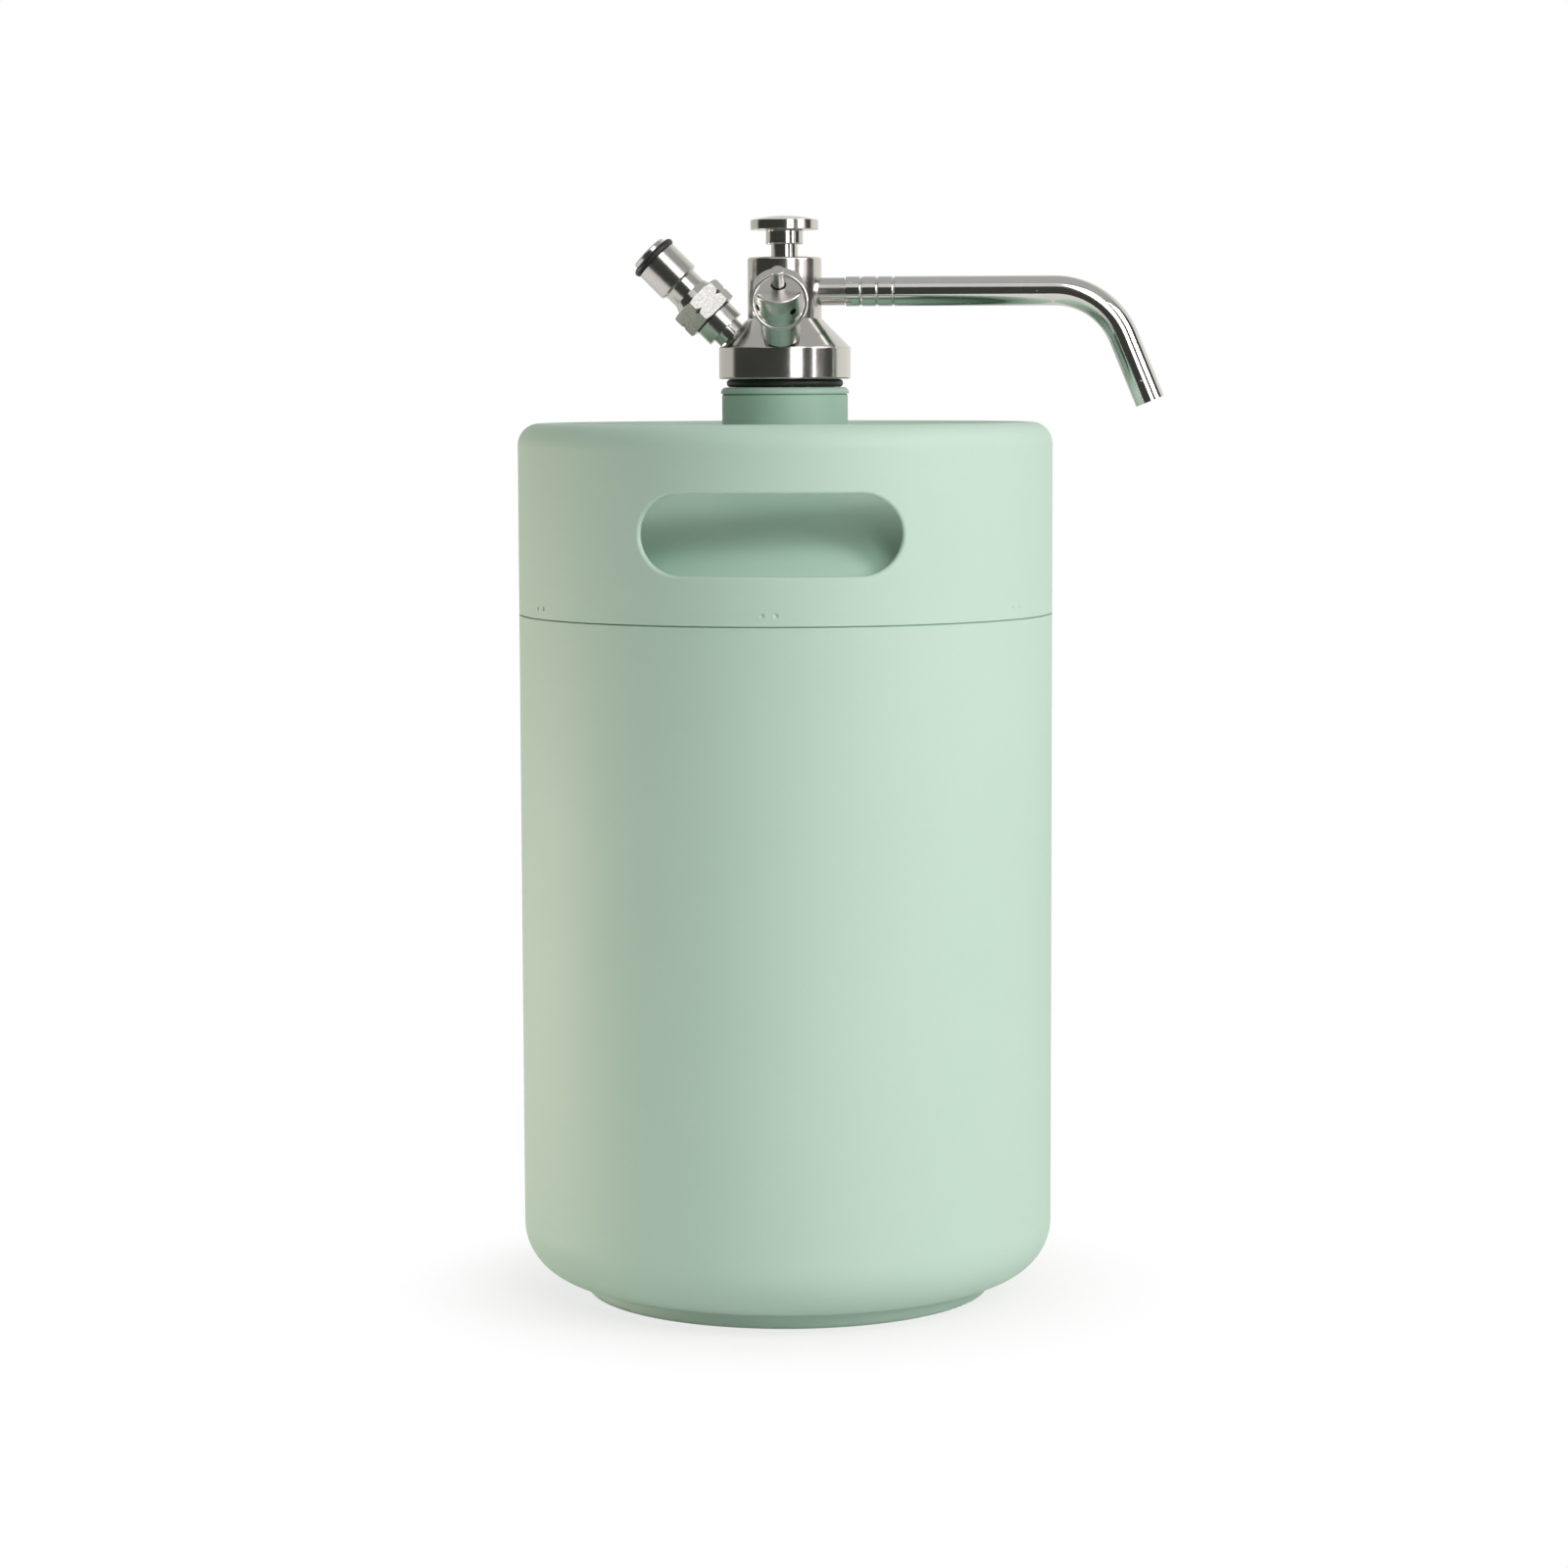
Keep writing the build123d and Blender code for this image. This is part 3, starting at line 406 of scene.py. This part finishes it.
def lathe_rings(place, axis, scale):
    height, radius = about_axis(place, axis)
    ring = Wire.node(place.tree, "ShaderNodeCombineXYZ", None, {0: height, 1: radius})
    return noise(ring, scale, 4, 0.7)


def turned_steel(name, axis, gloss, cut=5e-6, scale=lathe_scale):
    """Steel with lathe rings; gloss is its roughness where it is clean, cut the depth of the rings."""
    finish, place = start_finish(name)
    rings = lathe_rings(place, axis, scale)
    smudge = noise(place, 70, 3).step(0.4, 0.75)
    colour = mix_colour(rings, steel_low, steel_high)
    rough = gloss + smudge * 0.07 + rings * 0.05
    return close_finish(finish, rings, cut, 0.6, Base_Color=colour, Roughness=rough, Metallic=1.0)


# %% [markdown]
# The hexagon of the gas post was milled from rolled bar and never turned, so its flats are greyer and
# speckled, between turned parts that shine. The band of heights that holds the hexagon mixes the two.

# %% Gas post with rolled flats
rolled_low = (0.27, 0.266, 0.256)
rolled_high = (0.42, 0.413, 0.397)
# heights along the post where the hexagon starts and ends, and the radius of the round under it
hexagon_start = 0.00905, 0.0092
hexagon_end = 0.01795, 0.0178
hexagon_core = 0.0066, 0.0072


def rolled_hexagon(name):
    finish, place = start_finish(name)
    height, radius = about_axis(place, gas_axis)
    flats = height.step(*hexagon_start) * height.step(*hexagon_end) * radius.step(*hexagon_core)
    rings = lathe_rings(place, gas_axis, lathe_scale)
    scale = noise(place, 1900, 3, 0.7)
    turned = mix_colour(rings, steel_low, steel_high)
    rolled = mix_colour(scale.step(0.35, 0.65), rolled_low, rolled_high)
    colour = mix_colour(flats, turned, rolled)
    rough = 0.13 + rings * 0.05 + flats * (0.12 + scale * 0.1)
    skin = rings * 4e-6 + flats * scale * 3e-5
    return close_finish(finish, skin, 1.0, 0.7, Base_Color=colour, Roughness=rough, Metallic=1.0)


# %% [markdown]
# ## Polished tube, wire, vessel and rubber
# The spout is drawn tube with a mirror polish that has a few nicks. The pull ring and the springs are
# drawn wire. The inner vessel is satin. The seals are black rubber with a bloom of dust.

# %% Polished steel with nicks
def polished_steel(name, gloss):
    finish, place = start_finish(name)
    nick = noise(place, 420, 1).step(0.735, 0.78)
    haze = noise(place, 90, 4, 0.6)
    colour = mix_colour(haze, (0.62, 0.61, 0.59), (0.72, 0.71, 0.69))
    rough = gloss + haze * 0.06 + nick * 0.35
    skin = haze * 2e-6 - nick * 3e-5
    return close_finish(finish, skin, 1.0, 0.5, Base_Color=colour, Roughness=rough, Metallic=1.0)


# %% Satin vessel and drawn wire
def satin_steel(name, low, high, gloss):
    finish, place = start_finish(name)
    rings = lathe_rings(place, upright_axis, 1500)
    colour = mix_colour(rings, low, high)
    rough = gloss + rings * 0.12
    return close_finish(finish, rings, 6e-6, 0.6, Base_Color=colour, Roughness=rough, Metallic=1.0)


# %% Black rubber
def black_rubber(name):
    finish, place = start_finish(name)
    dust = noise(place, 800, 3, 0.6)
    colour = mix_colour(dust.step(0.5, 0.8), (0.011, 0.011, 0.012), (0.03, 0.03, 0.031))
    return close_finish(finish, dust, 2e-5, 0.4, Base_Color=colour, Roughness=0.38 + dust * 0.2)


# %% [markdown]
# ## Dressing the solids
# Every solid keeps its mesh and takes one of the finishes. Pieces that share an axis and a gloss share
# a material, so a change of finish is made in one place.

# %% Finish of each solid
turned_head = turned_steel("turned_head", upright_axis, 0.12)
finish_of = {
    sage_powder("sage_powder", wall_sage): ["outer_wall", "base_cup", "handle_collar"],
    # the dome and the neck take darker copies of the wall's tones: painted shade for the recess
    sage_powder("shaded_dome_powder", shaded_dome_sage): ["shoulder_dome"],
    shaded_coated_neck("shaded_coated_neck", shaded_neck_sage): ["keg_neck"],
    turned_head: ["tap_head"],
    turned_steel("turned_tap", upright_axis, 0.11): [
        "push_stem", "stop_collar", "push_knob", "gland_bush", "valve_disc"],
    turned_steel("turned_relief", relief_axis, 0.2, cut=1e-4, scale=4000): [
        "relief_body", "relief_cap", "relief_stem"],
    turned_steel("turned_gas", gas_axis, 0.13): ["gas_adapter", "gas_poppet"],
    rolled_hexagon("rolled_hexagon"): ["gas_post"],
    turned_steel("turned_nipple", spout_axis, 0.16): ["spout_nipple"],
    polished_steel("polished_spout", 0.07): ["spout_tube"],
    polished_steel("polished_wire", 0.1): ["pull_ring"],
    satin_steel("satin_vessel", (0.5, 0.49, 0.47), (0.6, 0.59, 0.57), 0.26): [
        "liner_bottom", "liner_tube", "liner_top", "vacuum_plug", "dip_tube", "tube_nut"],
    satin_steel("spring_wire", (0.36, 0.36, 0.37), (0.5, 0.5, 0.5), 0.3): [
        "tap_spring", "poppet_spring", "relief_spring"],
    black_rubber("black_rubber"): [
        "neck_seal", "stem_seal", "valve_washer", "tube_seal", "spout_seal", "post_washer", "post_seal",
        "poppet_seal", "relief_base_seal", "relief_seal"],
}
dressed = set()
for finish, names in finish_of.items():
    for name in names:
        nodes[name].data.materials.clear()
        nodes[name].data.materials.append(finish)
        dressed.add(name)
print("dressed", len(dressed), "of", len(nodes), "left:", sorted(set(nodes) - dressed))

# %% [markdown]
# ## The screw thread of the head
# The head screws into the neck, and its thread shows when it is lifted out. The solid spigot is plain,
# with room round it for the thread. A Screw modifier could wind one profile, but a ridge laid point by
# point along the helix also gets runouts that fade into the spigot at both ends, as a cut thread does.

# %% Thread ridge round the spigot
thread_root = 0.0172
thread_crest = 0.01802
thread_low = 0.3006
thread_turns = 5.5
runout_turns = 0.3
steps_a_turn = 72
# half the width of the ridge at its foot and at its crest, in pitches
foot_half = 0.42
crest_half = 0.1


def thread_ridge(name):
    """A closed ridge of four-cornered section along a helix."""
    count = int(thread_turns * steps_a_turn)
    corners = []
    for step in range(count + 1):
        turn = step / steps_a_turn
        fade = min(1, turn / runout_turns, (thread_turns - turn) / runout_turns)
        crest = thread_root + (thread_crest - thread_root) * fade
        section = [
            (thread_root, -foot_half), (crest, -crest_half),
            (crest, crest_half), (thread_root, foot_half),
        ]
        middle = thread_low + thread_pitch * turn
        angle = 2 * pi * turn
        for radius, offset in section:
            height = middle + offset * thread_pitch
            corners.append((radius * cos(angle), radius * sin(angle), height))
    faces = [(3, 2, 1, 0), tuple(4 * count + k for k in range(4))]
    for step in range(count):
        low = 4 * step
        faces += [(low + k, low + (k + 1) % 4, low + 4 + (k + 1) % 4, low + 4 + k) for k in range(4)]
    mesh = bpy.data.meshes.new(name)
    mesh.from_pydata(corners, [], faces)
    ridge = bpy.data.objects.new(name, mesh)
    bpy.context.scene.collection.objects.link(ridge)
    return ridge


spigot_thread = thread_ridge("spigot_thread")
spigot_thread.data.materials.append(turned_head)
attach(spigot_thread, "head")
print("thread faces:", len(spigot_thread.data.polygons))

# %% [markdown]
# ## Springs
# A spring stands under the knob, one under the gas poppet and one over the disc of the relief valve.
# Each ends on a piece that moves, and a rigid coil would be run through by it. An armature could shorten
# a coil; here each is a copy of its solid's mesh, hung from the head, in place of the hidden solid.

# %% Copies of the coils
def soft_coil(node):
    """A copy of a spring's mesh, hung from the head, in place of the hidden solid."""
    coil = bpy.data.objects.new(node + "_coil", nodes[node].data.copy())
    bpy.context.scene.collection.objects.link(coil)
    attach(coil, "head")
    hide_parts(node)
    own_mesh(coil)


soft_coil("tap_spring")
soft_coil("poppet_spring")
soft_coil("relief_spring")

# %% [markdown]
# ## The end

# %% The last line
print("scene built")
